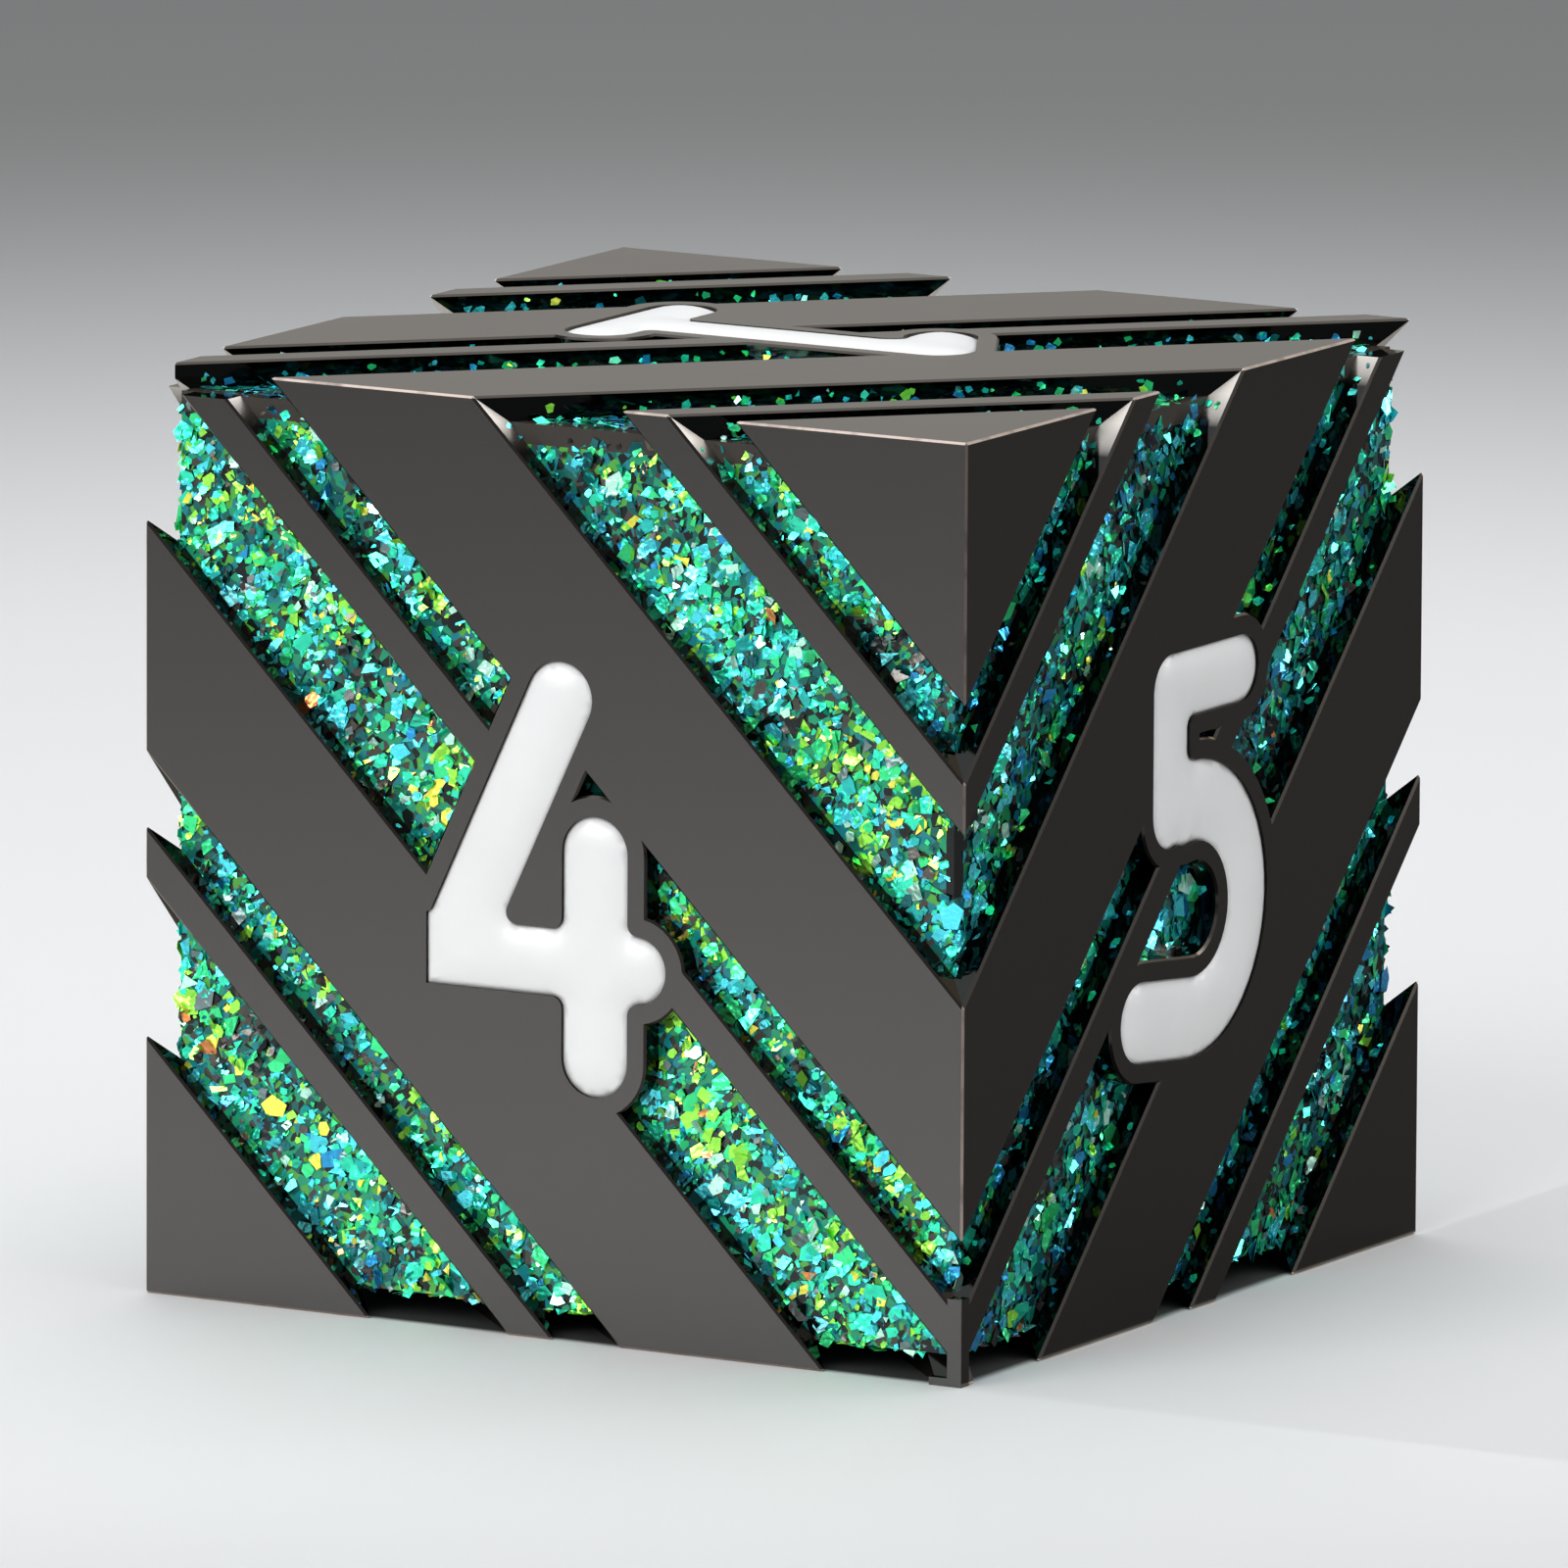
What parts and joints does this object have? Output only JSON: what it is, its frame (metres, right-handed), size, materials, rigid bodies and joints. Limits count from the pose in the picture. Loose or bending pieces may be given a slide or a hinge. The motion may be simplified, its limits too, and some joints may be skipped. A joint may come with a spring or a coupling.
{
  "type": "polyhedral die",
  "caption": "Cube-shaped sharp-edged metal die with diagonal lands, sunken flake-filled resin grooves and white enamel numerals.",
  "frame": {"origin": "middle of the bottom face, where the die stands", "axes": "+Z out of face 1 (up), +X out of face 5, +Y out of face 3; face 4 looks along -Y"},
  "size_m": [0.016, 0.016, 0.016],
  "materials": {
    "gunmetal": "polished black nickel plate over cast zinc",
    "flake_resin": "dark glossy resin filled with blue, green and gold foil flakes",
    "white_enamel": "smooth glossy white enamel"
  },
  "bodies": {
    "root": {"metal_body": "gunmetal", "numeral_1": "white_enamel", "numeral_2": "white_enamel", "numeral_3": "white_enamel", "numeral_4": "white_enamel", "numeral_5": "white_enamel", "numeral_6": "white_enamel", "inlay_1_1": "flake_resin", "inlay_1_2": "flake_resin", "inlay_1_3": "flake_resin", "inlay_1_4": "flake_resin", "inlay_1_5": "flake_resin", "inlay_1_6": "flake_resin", "inlay_2_1": "flake_resin", "inlay_2_2": "flake_resin", "inlay_2_3": "flake_resin", "inlay_2_4": "flake_resin", "inlay_2_5": "flake_resin", "inlay_2_6": "flake_resin", "inlay_3_1": "flake_resin", "inlay_3_2": "flake_resin", "inlay_3_3": "flake_resin", "inlay_3_4": "flake_resin", "inlay_3_5": "flake_resin", "inlay_3_6": "flake_resin", "inlay_4_1": "flake_resin", "inlay_4_2": "flake_resin", "inlay_4_3": "flake_resin", "inlay_4_4": "flake_resin", "inlay_4_5": "flake_resin", "inlay_4_6": "flake_resin", "inlay_5_1": "flake_resin", "inlay_5_2": "flake_resin", "inlay_5_3": "flake_resin", "inlay_5_4": "flake_resin", "inlay_5_5": "flake_resin", "inlay_5_6": "flake_resin", "inlay_6_1": "flake_resin", "inlay_6_2": "flake_resin", "inlay_6_3": "flake_resin", "inlay_6_4": "flake_resin", "inlay_6_5": "flake_resin", "inlay_6_6": "flake_resin"}
  },
  "joints": []
}
